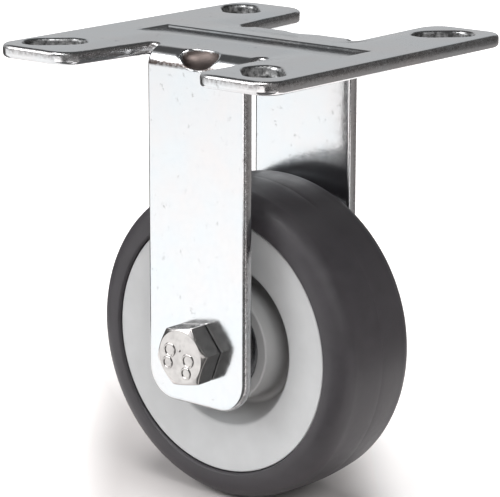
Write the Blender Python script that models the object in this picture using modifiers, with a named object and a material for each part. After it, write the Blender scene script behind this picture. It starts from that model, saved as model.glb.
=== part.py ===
"""Fixed castor: a folded sheet-steel bracket with a four-eared plate, and one wheel on two ball bearings.

The origin is on the floor below the middle of the wheel. +X is the rolling direction, +Y runs along the
axle and +Z is up. Everything is in metres.
"""

import math

import bmesh
import bpy
from mathutils import Matrix, Vector

# Overall sizes
wheel_diameter = 0.075
total_height = 0.1069
fit_gap = 0.0002

# Bracket: one blank of sheet, folded down on two sides
sheet_thickness = 0.003
edge_round = 0.0009
ear_width = 0.02255
ear_reach = 0.0227
ear_taper = 0.0008
ear_outer_corner_radius = 0.005
ear_inner_corner_radius = 0.0055
fork_inside_width = 0.035
leg_width = 0.0286
relief_width = 0.0029
leg_corner_radius = 0.0075
leg_below_axle = 0.0128
bend_inside_radius = 0.0012
bend_steps = 5

# Mounting slots, one in each ear, pointing at the plate's middle
slot_width = 0.0086
slot_length = 0.0142
slot_from_side = 0.00965
slot_from_end = 0.0107
slot_shift = -0.0009
slot_angle = math.radians(45)

# Pressed forms of the bracket
panel_drop = 0.0008
panel_ramp = 0.009
pocket_left_end = -0.0286
pocket_right_end = 0.0312
pocket_far_edge = 0.0028
pocket_near_edge = -0.009
pocket_depth = 0.0008
pocket_wall = 0.001
dart_half_width = 0.005
dart_half_run = 0.0033
dart_roundness = 0.0021
dart_depth = 0.00245
dart_angle = math.radians(39)
dart_wall = 0.0024

# Axle bolt, lock nut and the bushes threaded on the bolt
bolt_diameter = 0.008
bolt_head_flats = 0.013
bolt_head_height = 0.0053
bolt_head_turn = math.radians(9)
bolt_end_stand_out = 0.0018
nut_flats = 0.013
nut_height = 0.008
nut_hexagon_height = 0.0062
nut_collar_radius = 0.0058
nut_collar_wall = 0.0009
nut_insert_height = 0.0014
hexagon_chamfer = math.radians(30)
bush_radius = 0.006

# Ball bearings
bearing_bore = 0.008
bearing_diameter = 0.022
bearing_width = 0.007
bearing_spread = 0.0094
inner_shoulder_radius = 0.00605
outer_shoulder_radius = 0.009
ball_diameter = 0.00397
ball_count = 7
ball_gap = 0.00015
cage_thickness = 0.0018
cage_web = 0.0004
cage_reach = 0.0009
shield_thickness = 0.0004
shield_inset = 0.0003

# Wheel centre and tyre
tread_thickness = 0.0072
centre_half_width = 0.0124
boss_radius = 0.0137
boss_half_width = 0.0122
boss_draft = 0.0004
recess_radius = 0.0194
recess_rim_half_width = 0.011
recess_floor_radius = 0.0158
web_thickness = 0.0068
locking_rib_height = 0.0017
locking_rib_width = 0.0135
tread_width = 0.0264
shoulder_radius = 0.0048
tread_crown = 0.0005
wall_flange = 0.0012

# Fineness of the round shapes
corner_steps = 4
slot_steps = 6
ball_steps = 8
dart_steps = 24
wheel_steps = 52
bearing_steps = 24
hardware_steps = 20

# Worked out from the sizes above
axle_height = wheel_diameter / 2
centre_radius = wheel_diameter / 2 - tread_thickness
fork_half_width = fork_inside_width / 2 + sheet_thickness
bend_outside_radius = bend_inside_radius + sheet_thickness
bend_middle_radius = bend_inside_radius + sheet_thickness / 2
bend_start = fork_half_width - bend_outside_radius
bend_length = bend_middle_radius * math.pi / 2
bend_end = bend_start + bend_length
panel_top = total_height - panel_drop
leg_top = panel_top - bend_outside_radius
axle_along_blank = bend_end + leg_top - axle_height
leg_end_along_blank = axle_along_blank + leg_below_axle
relief_middle = (leg_width + relief_width) / 2
ear_inner_edge = leg_width / 2 + relief_width
plate_half_length = ear_inner_edge + ear_width
plate_half_width = fork_half_width + ear_reach
shank_radius = bearing_bore / 2 - fit_gap
ball_circle_radius = (inner_shoulder_radius + outer_shoulder_radius) / 2
bearing_inner_face = bearing_spread / 2
bearing_outer_face = bearing_inner_face + bearing_width
bearing_middle = bearing_inner_face + bearing_width / 2


def new_collection(name, helper=False):
    collection = bpy.data.collections.new(name)
    bpy.context.scene.collection.children.link(collection)
    collection.hide_render = helper
    return collection


def new_material(name, colour, metallic, roughness):
    material = bpy.data.materials.new(name)
    material.use_nodes = True
    shader = material.node_tree.nodes["Principled BSDF"]
    shader.inputs["Base Color"].default_value = (*colour, 1)
    shader.inputs["Metallic"].default_value = metallic
    shader.inputs["Roughness"].default_value = roughness
    material.diffuse_color = (*colour, 1)
    return material


def new_object(name, mesh, collection, material=None):
    thing = bpy.data.objects.new(name, mesh)
    collection.objects.link(thing)
    if material:
        mesh.materials.append(material)
    return thing


def make_cutter(thing):
    thing.hide_render = True
    thing.display_type = "WIRE"
    return thing


def shade_round(thing, angle=35):
    thing.data.shade_smooth()
    thing.data.set_sharp_from_angle(angle=math.radians(angle))


def along_axle(thing, middle=0.0):
    """Turns a shape made about Z so that its axis is the axle, with its own middle this far along it."""
    thing.rotation_euler = (-math.pi / 2, 0, 0)
    thing.location = (0, middle, axle_height)
    return thing


def arc(centre, radius, start, end, steps=corner_steps):
    """Points from one angle to another, both in degrees."""
    turns = [math.radians(start + (end - start) * k / steps) for k in range(steps + 1)]
    return [(centre[0] + radius * math.cos(a), centre[1] + radius * math.sin(a)) for a in turns]


def turned(name, profile, collection, material, steps):
    """A ring or disc from its section: (radius, height) points that run down the outer side first."""
    mesh = bpy.data.meshes.new(name)
    count = len(profile)
    closed = all(radius > 0 for radius, _ in profile)
    edges = [(k, (k + 1) % count) for k in range(count if closed else count - 1)]
    mesh.from_pydata([(radius, 0, height) for radius, height in profile], edges, [])
    thing = new_object(name, mesh, collection, material)
    screw = thing.modifiers.new("turn", "SCREW")
    screw.steps = screw.render_steps = steps
    screw.use_merge_vertices = True
    screw.merge_threshold = 0.00001
    screw.use_smooth_shade = True
    return thing


def boolean(thing, other, operation="DIFFERENCE"):
    modifier = thing.modifiers.new(operation.lower(), "BOOLEAN")
    modifier.operation = operation
    modifier.object = other
    modifier.solver = "EXACT"


def smooth_step(value):
    value = min(max(value, 0.0), 1.0)
    return value * value * (3 - 2 * value)


def blank_quarter():
    """A quarter of the flat blank's outline: along the ear, round the relief notch and down the leg."""
    side, end = plate_half_length, plate_half_width
    outer, inner = ear_outer_corner_radius, ear_inner_corner_radius
    notch_height = bend_start - edge_round + relief_width / 2
    points = arc((side - outer, end - outer), outer, 0, 90)
    points += arc((ear_inner_edge + ear_taper + inner, end - inner), inner, 90, 180)
    points += arc((relief_middle, notch_height), relief_width / 2, 0, -180, corner_steps + 2)
    leg_corner = (leg_width / 2 - leg_corner_radius, leg_end_along_blank - leg_corner_radius)
    points += arc(leg_corner, leg_corner_radius, 0, 90)
    return points


def blank_outline():
    quarter = blank_quarter()
    half = quarter + [(-x, s) for x, s in reversed(quarter)]
    return half + [(x, -s) for x, s in reversed(half)]


def slot_outline(middle, angle):
    straight = (slot_length - slot_width) / 2
    ends = arc((straight, 0), slot_width / 2, -90, 90, slot_steps)
    ends += arc((-straight, 0), slot_width / 2, 90, 270, slot_steps)
    turn = Matrix.Rotation(angle, 2)
    return [tuple(Vector(middle) + turn @ Vector(point)) for point in ends]


def blank_holes():
    holes = []
    for side in (1, -1):
        for end in (1, -1):
            across = slot_shift + side * (plate_half_length - slot_from_side)
            middle = (across, end * (plate_half_width - slot_from_end))
            holes.append(slot_outline(middle, side * end * slot_angle))
        hole_radius = bolt_diameter / 2 + fit_gap
        holes.append(arc((0, side * axle_along_blank), hole_radius, 0, 360, 16)[:-1])
    return holes


def flat_blank(collection):
    """The punched blank as a closed mesh, its outside face at zero height and its edges rounded."""
    curve = bpy.data.curves.new("blank", "CURVE")
    curve.dimensions = "2D"
    curve.fill_mode = "BOTH"
    curve.extrude = sheet_thickness / 2 - edge_round
    curve.bevel_depth = edge_round
    curve.bevel_resolution = 1
    curve.offset = -edge_round
    for outline in [blank_outline()] + blank_holes():
        spline = curve.splines.new("POLY")
        spline.points.add(len(outline) - 1)
        for point, (x, s) in zip(spline.points, outline):
            point.co = (x, s, 0, 1)
        spline.use_cyclic_u = True
    guide = bpy.data.objects.new("blank", curve)
    collection.objects.link(guide)
    graph = bpy.context.evaluated_depsgraph_get()
    mesh = bpy.data.meshes.new_from_object(guide.evaluated_get(graph))
    bpy.data.objects.remove(guide)
    blank = bmesh.new()
    blank.from_mesh(mesh)
    bpy.data.meshes.remove(mesh)
    bmesh.ops.remove_doubles(blank, verts=blank.verts, dist=0.00001)
    bmesh.ops.translate(blank, verts=blank.verts, vec=(0, 0, -sheet_thickness / 2))
    return blank


def slice_blank(blank, place, direction):
    geometry = blank.verts[:] + blank.edges[:] + blank.faces[:]
    bmesh.ops.bisect_plane(blank, geom=geometry, dist=0.000001, plane_co=place, plane_no=direction)


def fold_lines():
    """Distances along the blank at which it is cut into strips, so that it can take its bends."""
    bend = [bend_start + bend_length * k / bend_steps for k in range(bend_steps + 1)]
    bow = [pocket_far_edge + (bend_start - pocket_far_edge) * share for share in (0.25, 0.5, 0.75)]
    pocket = [pocket_far_edge, pocket_far_edge - pocket_wall, pocket_near_edge]
    return [side * s for side in (1, -1) for s in bend + bow] + pocket


def forming_lines():
    """Distances from the blank's middle line at which it is cut for its pressed forms."""
    ramp = [relief_middle + panel_ramp * share for share in (0, 0.3, 0.7, 1)]
    pocket = [pocket_left_end, pocket_left_end + pocket_wall, pocket_right_end - pocket_wall, pocket_right_end]
    return [side * x for side in (1, -1) for x in ramp] + pocket


def pressed_depth(x, s):
    """How far the plate lies below its ears here: it bows down to its bends and has a pocket pressed in it."""
    sunk = 1 - smooth_step((abs(x) - relief_middle) / panel_ramp)
    bow = smooth_step((abs(s) - pocket_far_edge) / (bend_start - pocket_far_edge))
    beyond_root = max(abs(s) - bend_start, 0) / (plate_half_width - bend_start) if abs(x) > relief_middle else 0
    depth = panel_drop * sunk * bow * (1 - 0.7 * beyond_root)
    if pocket_near_edge < s < pocket_far_edge:
        ramp = (s - pocket_near_edge) / (pocket_far_edge - pocket_wall - pocket_near_edge)
        far_wall = (pocket_far_edge - s) / pocket_wall
        side_wall = min(x - pocket_left_end, pocket_right_end - x) / pocket_wall
        depth = max(depth, pocket_depth * min(ramp, far_wall, side_wall, 1))
    return depth


def folded(point):
    """Where a point of the flat blank lies on the folded bracket."""
    x, s, height = point
    side = math.copysign(1, s)
    top = total_height - pressed_depth(x, s)
    if abs(s) <= bend_start or abs(x) > relief_middle:
        y, z = s, top + height
    elif abs(s) < bend_end:
        turn = (abs(s) - bend_start) / bend_middle_radius
        radius = bend_outside_radius + height
        y = side * (bend_start + radius * math.sin(turn))
        z = top - bend_outside_radius + radius * math.cos(turn)
    else:
        y = side * (fork_half_width + height)
        z = top - bend_outside_radius - (abs(s) - bend_end)
    return x, y, z


def punch(name, side, thickness, cutters):
    """The rounded punch that presses the dart into one bend, grown by a sheet thickness for its inside."""
    shape = bmesh.new()
    size = [half + thickness for half in (dart_half_width, dart_half_run, dart_roundness)]
    grow = Matrix.Diagonal((*size, 1))
    bmesh.ops.create_uvsphere(shape, u_segments=dart_steps, v_segments=dart_steps // 2, radius=1, matrix=grow)
    mesh = bpy.data.meshes.new(name)
    shape.to_mesh(mesh)
    shape.free()
    mesh.shade_smooth()
    cutter = make_cutter(new_object(name, mesh, cutters))
    reach = bend_outside_radius - dart_depth + dart_roundness
    across, up = reach * math.sin(dart_angle), reach * math.cos(dart_angle)
    cutter.rotation_euler = (-side * dart_angle, 0, 0)
    cutter.location = (0, side * (bend_start + across), leg_top + up)
    return cutter


def inside_block(cutters):
    """The room inside the fork, up to the middle of the sheet, to which the darts' inner sides are kept."""
    shape = bmesh.new()
    width = fork_inside_width + sheet_thickness
    height = 2 * bend_outside_radius + 2 * dart_half_run
    size = Matrix.Diagonal((leg_width, width, height, 1))
    middle = Matrix.Translation((0, 0, panel_top - sheet_thickness / 2 - height / 2))
    bmesh.ops.create_cube(shape, size=1, matrix=middle @ size)
    mesh = bpy.data.meshes.new("inside_block")
    shape.to_mesh(mesh)
    shape.free()
    return make_cutter(new_object("inside_block", mesh, cutters))


def press_darts(bracket, cutters):
    """Presses the stiffening darts: each bulges out inside the bend by what it is pressed in outside."""
    room = inside_block(cutters)
    for side, name in ((-1, "near_dart"), (1, "far_dart")):
        bulge = punch(f"{name}_inside", side, dart_wall, cutters)
        boolean(bulge, room, "INTERSECT")
        boolean(bracket, bulge, "UNION")
        boolean(bracket, punch(f"{name}_outside", side, 0, cutters))


def fork_bracket(collection, cutters, material):
    blank = flat_blank(collection)
    for s in fold_lines():
        slice_blank(blank, (0, s, 0), (0, 1, 0))
    for x in forming_lines():
        slice_blank(blank, (x, 0, 0), (1, 0, 0))
    bmesh.ops.triangulate(blank, faces=blank.faces)
    for vertex in blank.verts:
        vertex.co = folded(vertex.co)
    bmesh.ops.recalc_face_normals(blank, faces=blank.faces)
    mesh = bpy.data.meshes.new("fork_bracket")
    blank.to_mesh(mesh)
    blank.free()
    bracket = new_object("fork_bracket", mesh, collection, material)
    shade_round(bracket)
    press_darts(bracket, cutters)
    return bracket


def hexagon_prism(name, flats, height, turn, collection, material):
    """A six-sided prism that stands on zero height, with a corner turned this far from +X."""
    shape = bmesh.new()
    corners = flats / math.sqrt(3)
    made = bmesh.ops.create_cone(shape, cap_ends=True, segments=6, radius1=corners, radius2=corners, depth=height)
    place = Matrix.Translation((0, 0, height / 2)) @ Matrix.Rotation(turn + math.pi / 6, 4, "Z")
    bmesh.ops.transform(shape, matrix=place, verts=made["verts"])
    mesh = bpy.data.meshes.new(name)
    shape.to_mesh(mesh)
    shape.free()
    return new_object(name, mesh, collection, material)


def chamfer_disc(name, flats, height, both_ends, collection):
    """The turned shape that takes a hexagon's corners off at its top, or at both its ends."""
    inner, outer = flats * 0.475, flats / math.sqrt(3) + 0.001
    fall = (outer - inner) * math.tan(hexagon_chamfer)
    bottom = [(outer, fall), (inner, 0)] if both_ends else [(outer, -0.001)]
    profile = [(0, height), (inner, height), (outer, height - fall)] + bottom + [(0, bottom[-1][1])]
    return make_cutter(turned(name, profile, collection, None, hardware_steps))


def axle_bolt(collection, cutters, material):
    """Hexagon-headed bolt, its head against the near leg and its shank through both legs."""
    head_face = fork_half_width + fit_gap
    shank_end = fork_half_width + fit_gap + nut_height + bolt_end_stand_out
    bolt = hexagon_prism("axle_bolt", bolt_head_flats, bolt_head_height, bolt_head_turn, collection, material)
    tip = 0.001
    buried = bolt_head_height / 2
    profile = [(0, buried), (shank_radius, buried), (shank_radius, tip - head_face - shank_end)]
    profile += [(shank_radius - tip, -head_face - shank_end), (0, -head_face - shank_end)]
    shank = make_cutter(turned("bolt_shank", profile, cutters, None, hardware_steps))
    disc = chamfer_disc("bolt_head_chamfer", bolt_head_flats, bolt_head_height, False, cutters)
    boolean(bolt, disc, "INTERSECT")
    boolean(bolt, shank, "UNION")
    for piece in (bolt, shank, disc):
        piece.rotation_euler = (math.pi / 2, 0, 0)
        piece.location = (0, -head_face, axle_height)
    return bolt


def lock_nut(collection, cutters, material):
    """Nut with a collar that holds a plastic locking ring, tight against the far leg."""
    nut = hexagon_prism("lock_nut", nut_flats, nut_hexagon_height, 0, collection, material)
    disc = chamfer_disc("nut_chamfer", nut_flats, nut_hexagon_height, True, cutters)
    profile = [(nut_collar_radius, nut_height), (nut_collar_radius, nut_hexagon_height / 2)]
    profile += [(0, nut_hexagon_height / 2), (0, nut_height)]
    profile = [(0, nut_height)] + profile[:3]
    collar = make_cutter(turned("nut_collar", profile, cutters, None, hardware_steps))
    bore_radius = bolt_diameter / 2 + fit_gap
    seat_radius = nut_collar_radius - nut_collar_wall
    seat_floor = nut_height - nut_insert_height - 2 * fit_gap
    over = 0.001
    bore_profile = [(0, nut_height + over), (seat_radius, nut_height + over), (seat_radius, seat_floor)]
    bore_profile += [(bore_radius, seat_floor), (bore_radius, -over), (0, -over)]
    bore = make_cutter(turned("nut_bore", bore_profile, cutters, None, hardware_steps))
    boolean(nut, disc, "INTERSECT")
    boolean(nut, collar, "UNION")
    boolean(nut, bore)
    for piece in (nut, disc, collar, bore):
        along_axle(piece, fork_half_width + fit_gap)
    return nut


def nut_insert(collection, material):
    inner = bolt_diameter / 2
    outer = nut_collar_radius - nut_collar_wall - fit_gap
    low = nut_height - nut_insert_height - fit_gap
    high = low + nut_insert_height
    ring = turned("nut_insert", [(outer, high), (outer, low), (inner, low), (inner, high)],
                  collection, material, hardware_steps)
    return along_axle(ring, fork_half_width + fit_gap)


def bushes(collection, material):
    """The spacer tube between the bearings, and the two end bushes between bearings and legs."""
    bore = bolt_diameter / 2 + fit_gap / 2
    half = bearing_inner_face - fit_gap
    outer_start, outer_end = bearing_outer_face + fit_gap, fork_inside_width / 2 - fit_gap
    spans = {
        "spacer_tube": (-half, half),
        "near_bush": (-outer_end, -outer_start),
        "far_bush": (outer_start, outer_end),
    }
    for name, (low, high) in spans.items():
        profile = [(bush_radius, high), (bush_radius, low), (bore, low), (bore, high)]
        along_axle(turned(name, profile, collection, material, hardware_steps))


def race_profile(bore_side, shoulder, inner):
    """Section of a bearing race with its ball groove, as (radius, height)."""
    half = bearing_width / 2
    groove = ball_diameter / 2 + ball_gap
    reach = math.degrees(math.acos(abs(ball_circle_radius - shoulder) / groove))
    middle = (ball_circle_radius, 0)
    if inner:
        curve = arc(middle, groove, 180 - reach, 180 + reach)
        return [(shoulder, half)] + curve + [(shoulder, -half), (bore_side, -half), (bore_side, half)]
    curve = arc(middle, groove, -reach, reach)
    return [(bore_side, half), (bore_side, -half), (shoulder, -half)] + curve + [(shoulder, half)]


def ball_bearing(side_name, middle, collection, cutters, materials):
    """One sealed ball bearing: two races, a cage of balls and a shield in each end."""
    steel, shield_steel, plastic = materials
    inner = turned(f"{side_name}_inner_race", race_profile(bearing_bore / 2, inner_shoulder_radius, True),
                   collection, steel, bearing_steps)
    outer = turned(f"{side_name}_outer_race", race_profile(bearing_diameter / 2, outer_shoulder_radius, False),
                   collection, steel, bearing_steps)
    along_axle(inner, middle)
    along_axle(outer, middle)
    shield_in, shield_out = inner_shoulder_radius + fit_gap, outer_shoulder_radius - fit_gap
    high = bearing_width / 2 - shield_inset
    low = high - shield_thickness
    for end, flip in (("inside", -1), ("outside", 1)):
        turn = flip if middle > 0 else -flip
        heights = (high, low) if turn > 0 else (-low, -high)
        profile = [(shield_out, heights[0]), (shield_out, heights[1]), (shield_in, heights[1]), (shield_in, heights[0])]
        along_axle(turned(f"{side_name}_{end}_shield", profile, collection, shield_steel, bearing_steps), middle)
    cage = ball_cage(f"{side_name}_ball_cage", collection, cutters, plastic)
    along_axle(cage, middle)
    for number in range(ball_count):
        angle = 2 * math.pi * number / ball_count
        shape = bmesh.new()
        bmesh.ops.create_uvsphere(shape, u_segments=ball_steps, v_segments=ball_steps - 2, radius=ball_diameter / 2)
        mesh = bpy.data.meshes.new(f"{side_name}_ball_{number + 1}")
        shape.to_mesh(mesh)
        shape.free()
        ball = new_object(f"{side_name}_ball_{number + 1}", mesh, collection, steel)
        ball.data.shade_smooth()
        across, up = ball_circle_radius * math.cos(angle), ball_circle_radius * math.sin(angle)
        ball.location = (across, middle, axle_height + up)


def ball_cage(name, collection, cutters, material):
    """A crown cage: a ring beside the balls, with a round pocket for each."""
    pocket = ball_diameter / 2 + ball_gap
    high, low = pocket + cage_web, -cage_reach
    inner, outer = ball_circle_radius - cage_thickness / 2, ball_circle_radius + cage_thickness / 2
    cage = turned(name, [(outer, high), (outer, low), (inner, low), (inner, high)],
                  collection, material, 4 * ball_count)
    pockets = bmesh.new()
    for number in range(ball_count):
        angle = 2 * math.pi * number / ball_count
        place = Matrix.Rotation(angle, 4, "Z") @ Matrix.Translation((ball_circle_radius, 0, 0))
        place = place @ Matrix.Rotation(math.pi / 2, 4, "Y")
        bmesh.ops.create_cone(pockets, cap_ends=True, segments=12, radius1=pocket, radius2=pocket,
                              depth=2 * cage_thickness, matrix=place)
    mesh = bpy.data.meshes.new(f"{name}_pockets")
    pockets.to_mesh(mesh)
    pockets.free()
    cutter = make_cutter(new_object(f"{name}_pockets", mesh, cutters))
    cutter.parent = cage
    boolean(cage, cutter)
    return cage


def mirrored(profile):
    """The section's other half: heights change sign and the order runs on."""
    return [(radius, -height) for radius, height in reversed(profile)]


def locking_rib(radius, clearance):
    """The raised band of the wheel centre that keeps the tyre from creeping sideways, from its far side."""
    half = locking_rib_width / 2 + clearance
    slope = locking_rib_height / 2
    return [(radius, half + slope), (radius + locking_rib_height, half)]


def wheel_centre(collection, material):
    """The moulded wheel body: a bearing boss, a dished recess each side and a broad flat rim."""
    bore = outer_shoulder_radius + fit_gap
    seat = bearing_diameter / 2 + fit_gap
    seat_floor = bearing_inner_face - fit_gap
    chamfer = 0.0004
    floor = web_thickness / 2
    fillet = 0.0009
    boss_foot = boss_radius + boss_draft
    rim = centre_radius - fit_gap / 2
    face_edge = centre_half_width - chamfer
    outer = [(rim - chamfer, centre_half_width), (rim, face_edge)] + locking_rib(rim, 0)
    inside = [(bore, -seat_floor), (bore, seat_floor), (seat, seat_floor), (seat, boss_half_width - chamfer / 2)]
    inside += [(seat + chamfer / 2, boss_half_width)]
    boss = [(boss_radius - chamfer, boss_half_width), (boss_radius, boss_half_width - chamfer)]
    boss += [(boss_foot, floor + fillet), (boss_foot + fillet, floor)]
    cone = [(recess_floor_radius, floor), (recess_radius - chamfer, recess_rim_half_width - 2 * chamfer)]
    cone += [(recess_radius, recess_rim_half_width)]
    half = inside[1:] + boss + cone + outer
    profile = half + mirrored(half)
    return along_axle(turned("wheel_centre", profile, collection, material, wheel_steps))


def tyre(collection, material):
    """The moulded tread, crowned and well rounded at its shoulders, keyed over the wheel centre's rib."""
    seat = centre_radius + fit_gap / 2
    half, radius = tread_width / 2, wheel_diameter / 2
    flat_edge = half - shoulder_radius
    shoulder_top = radius - tread_crown
    shoulder = arc((shoulder_top - shoulder_radius, flat_edge), shoulder_radius, 90, 0, corner_steps)
    side = [(seat, centre_half_width), (seat + wall_flange, half - 0.0002), (seat + 2 * wall_flange, half)]
    crown = [(radius - tread_crown / 4, flat_edge / 2), (radius, 0)]
    key = locking_rib(seat, fit_gap)
    half_profile = key[::-1] + side + shoulder + crown
    profile = half_profile + mirrored(half_profile[:-1])
    return along_axle(turned("tyre", profile, collection, material, wheel_steps))


def wheel_axis(collection, names):
    """An empty on the axle that carries the turning pieces."""
    axis = bpy.data.objects.new("wheel_axis", None)
    collection.objects.link(axis)
    axis.location = (0, 0, axle_height)
    bpy.context.view_layer.update()
    for name in names:
        piece = bpy.data.objects[name]
        piece.parent = axis
        piece.matrix_parent_inverse = axis.matrix_world.inverted()


def clear_scene():
    for thing in list(bpy.data.objects):
        bpy.data.objects.remove(thing)


def main():
    clear_scene()
    castor = new_collection("fixed_castor")
    cutters = new_collection("cutters", helper=True)
    zinc = new_material("zinc_plate", (0.72, 0.73, 0.72), 1.0, 0.28)
    bolt_steel = new_material("plated_bolt", (0.66, 0.65, 0.63), 1.0, 0.22)
    bearing_steel = new_material("bearing_steel", (0.55, 0.55, 0.56), 1.0, 0.15)
    shield_steel = new_material("shield_steel", (0.45, 0.45, 0.46), 1.0, 0.35)
    nylon = new_material("nylon", (0.82, 0.82, 0.78), 0.0, 0.45)
    plastic = new_material("pale_grey_plastic", (0.58, 0.60, 0.60), 0.0, 0.42)
    rubber = new_material("dark_grey_rubber", (0.07, 0.07, 0.075), 0.0, 0.6)

    fork_bracket(castor, cutters, zinc)
    axle_bolt(castor, cutters, bolt_steel)
    lock_nut(castor, cutters, bolt_steel)
    nut_insert(castor, nylon)
    bushes(castor, bolt_steel)
    bearing_materials = (bearing_steel, shield_steel, nylon)
    ball_bearing("near", -bearing_middle, castor, cutters, bearing_materials)
    ball_bearing("far", bearing_middle, castor, cutters, bearing_materials)
    wheel_centre(castor, plastic)
    tyre(castor, rubber)
    turning = ["wheel_centre", "tyre"]
    for side in ("near", "far"):
        turning += [f"{side}_outer_race", f"{side}_inside_shield", f"{side}_outside_shield"]
    wheel_axis(castor, turning)


main()
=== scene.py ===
"""Fixed castor, dressed for its picture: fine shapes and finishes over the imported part, and a small studio.

Everything is in metres. The origin is on the floor below the middle of the wheel, +X is the rolling
direction, +Y runs along the axle and +Z is up.
"""

import math

import bmesh
import bpy
from bpy.props import FloatProperty, FloatVectorProperty, PointerProperty
from mathutils import Matrix, Vector


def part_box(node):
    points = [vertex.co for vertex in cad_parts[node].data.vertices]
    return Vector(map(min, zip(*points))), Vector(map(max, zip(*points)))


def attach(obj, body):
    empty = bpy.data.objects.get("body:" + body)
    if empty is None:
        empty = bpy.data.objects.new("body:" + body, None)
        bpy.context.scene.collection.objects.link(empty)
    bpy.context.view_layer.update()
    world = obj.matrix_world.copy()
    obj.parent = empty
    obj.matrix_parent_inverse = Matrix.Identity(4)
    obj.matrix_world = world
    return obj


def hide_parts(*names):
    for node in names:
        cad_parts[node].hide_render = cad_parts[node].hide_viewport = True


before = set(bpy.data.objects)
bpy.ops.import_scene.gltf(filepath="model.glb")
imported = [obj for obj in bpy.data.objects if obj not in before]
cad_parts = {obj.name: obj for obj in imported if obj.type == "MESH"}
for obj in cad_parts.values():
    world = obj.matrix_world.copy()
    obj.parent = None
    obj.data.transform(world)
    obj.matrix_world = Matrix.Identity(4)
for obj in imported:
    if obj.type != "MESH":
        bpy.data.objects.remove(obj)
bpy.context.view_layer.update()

bl_info = {
    "name": "Fixed Castor",
    "version": (1, 0, 0),
    "blender": (4, 5, 0),
    "location": "View3D > Sidebar > Castor",
    "description": "Builds the fine pieces, finishes and studio of a fixed castor",
    "category": "Object",
}

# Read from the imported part
plate_low, plate_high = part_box("fork_bracket")
tyre_low, tyre_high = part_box("tyre")
bolt_low, bolt_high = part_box("axle_bolt")
nut_low, nut_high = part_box("lock_nut")
race_low, race_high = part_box("far_outer_race")
bush_low, bush_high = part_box("far_bush")

total_height = plate_high[2]
plate_half_length = plate_high[0]
plate_half_width = plate_high[1]
wheel_radius = (tyre_high[2] - tyre_low[2]) / 2
axle_height = (tyre_high[2] + tyre_low[2]) / 2
tread_half_width = tyre_high[1]
bearing_radius = (race_high[2] - race_low[2]) / 2
bearing_inner_face = race_low[1]
bearing_outer_face = race_high[1]
bush_radius = (bush_high[2] - bush_low[2]) / 2

# Bracket: one blank of sheet, folded down on two sides
fit_gap = 0.0002
sheet_thickness = 0.003
fork_half_width = nut_low[1] - fit_gap
ear_width = 0.02255
ear_taper = 0.0008
ear_outer_corner_radius = 0.005
ear_inner_corner_radius = 0.0055
relief_width = 0.0029
leg_corner_radius = 0.0075
bend_inside_radius = 0.0012
slot_width = 0.0086
slot_length = 0.0142
slot_from_side = 0.00965
slot_from_end = 0.0107
slot_shift = -0.0009
slot_angle = math.radians(45)
slot_wall_steepness = 0.6
slot_wall_margin = 0.0004
axle_hole_radius = 0.0042

# Pressed forms of the bracket
panel_drop = 0.0008
panel_ramp = 0.009
ear_recovery = 0.7
pocket_left_end = -0.0286
pocket_right_end = 0.0312
pocket_far_edge = 0.0028
pocket_near_edge = -0.009
pocket_depth = 0.0008
pocket_wall = 0.001
dart_half_width = 0.005
dart_half_run = 0.0033
dart_roundness = 0.0021
dart_depth = 0.00245
dart_angle = math.radians(39)
dart_reach_across = 0.0068
dart_reach_above = 0.0018
dart_reach_below = 0.0026
dart_fade = 0.0012

# Painted shade on the plating, as shares of full shade, and where it lies: on the sheared edges, in the darts and in a
# band low on each bend
edge_shade = 0.42
edge_margin = 0.0002
dart_shade_starts = 0.0004
dart_shade_full = 0.0005
bend_shade = 1.2
bend_shade_turn = 0.87
bend_shade_spread = 0.14

# Roundings of small edges, in bolt, nut, bearings and wheel
tight_round = 0.0001
fine_round = 0.0002
broken_edge = 0.0003

# Bolt, nut and bearings
bolt_radius = 0.004
hexagon_flats = 0.013
chamfer_radius = hexagon_flats * 0.475
hexagon_chamfer = math.radians(30)
bolt_head_turn = math.radians(9)
thread_length = 0.012
thread_depth_share = 0.58
tip_chamfer_share = 1.3
nut_hexagon_height = 0.0062
nut_collar_radius = 0.0058
nut_collar_wall = 0.0009
nut_collar_round = 0.0005
nut_collar_lip = 0.0004
insert_room = 0.0018
insert_half_height = 0.00068
inner_shoulder_radius = 0.00605
outer_shoulder_radius = 0.009
ball_diameter = 0.00397
groove_gap = 0.00015
shield_thickness = 0.0004
shield_inset = 0.0003
shield_step = 0.00012
shield_hem = 0.0006
shield_fold = 0.0008

# Wheel centre and tyre
centre_radius = 0.0303
centre_half_width = 0.0124
boss_radius = 0.0137
boss_half_width = 0.0122
boss_draft = 0.0004
boss_root_round = 0.0014
recess_root_round = 0.0006
rim_round = 0.0004
recess_radius = 0.0194
recess_rim_half_width = 0.011
recess_floor_radius = 0.0158
web_thickness = 0.0068
locking_rib_height = 0.0017
locking_rib_width = 0.0135
tread_crown = 0.0005
wall_flange = 0.0012
wall_lip = 0.00035
parting_line_half_width = 0.0002
parting_line_depth = 0.00003

# Fineness of the shapes
merge_distance = 0.0000001
blank_merge_distance = 0.00001
cut_tolerance = 0.000001
sharp_angle = math.radians(50)
flat_face_weight = 80
corner_steps = 12
slot_steps = 20
edge_steps = 3
bend_steps = 20
dart_grid_half_width = 0.007
dart_grid_across = 0.00035
dart_grid_along = 0.00021
bow_strip = 0.0012
pocket_strip = 0.001
ramp_strip = 0.0009
ear_strip = 0.0022
ear_strips_start = 0.0032
shank_strip = 0.004
shoulder_steps = 24
screen_steps = 24
round_steps = 5
wheel_steps = 192
hardware_steps = 96
thread_turn_steps = 48

# Camera
view_turn = math.radians(39.54)
view_rise = math.radians(14.13)
view_roll = math.radians(0.12)
view_distance = 0.5553
view_target_height = 0.06
view_shift_right = -0.00081
view_shift_up = -0.00216
sensor_width = 36
photo_width_pixels = 500
focal_length_pixels = 2404

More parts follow.
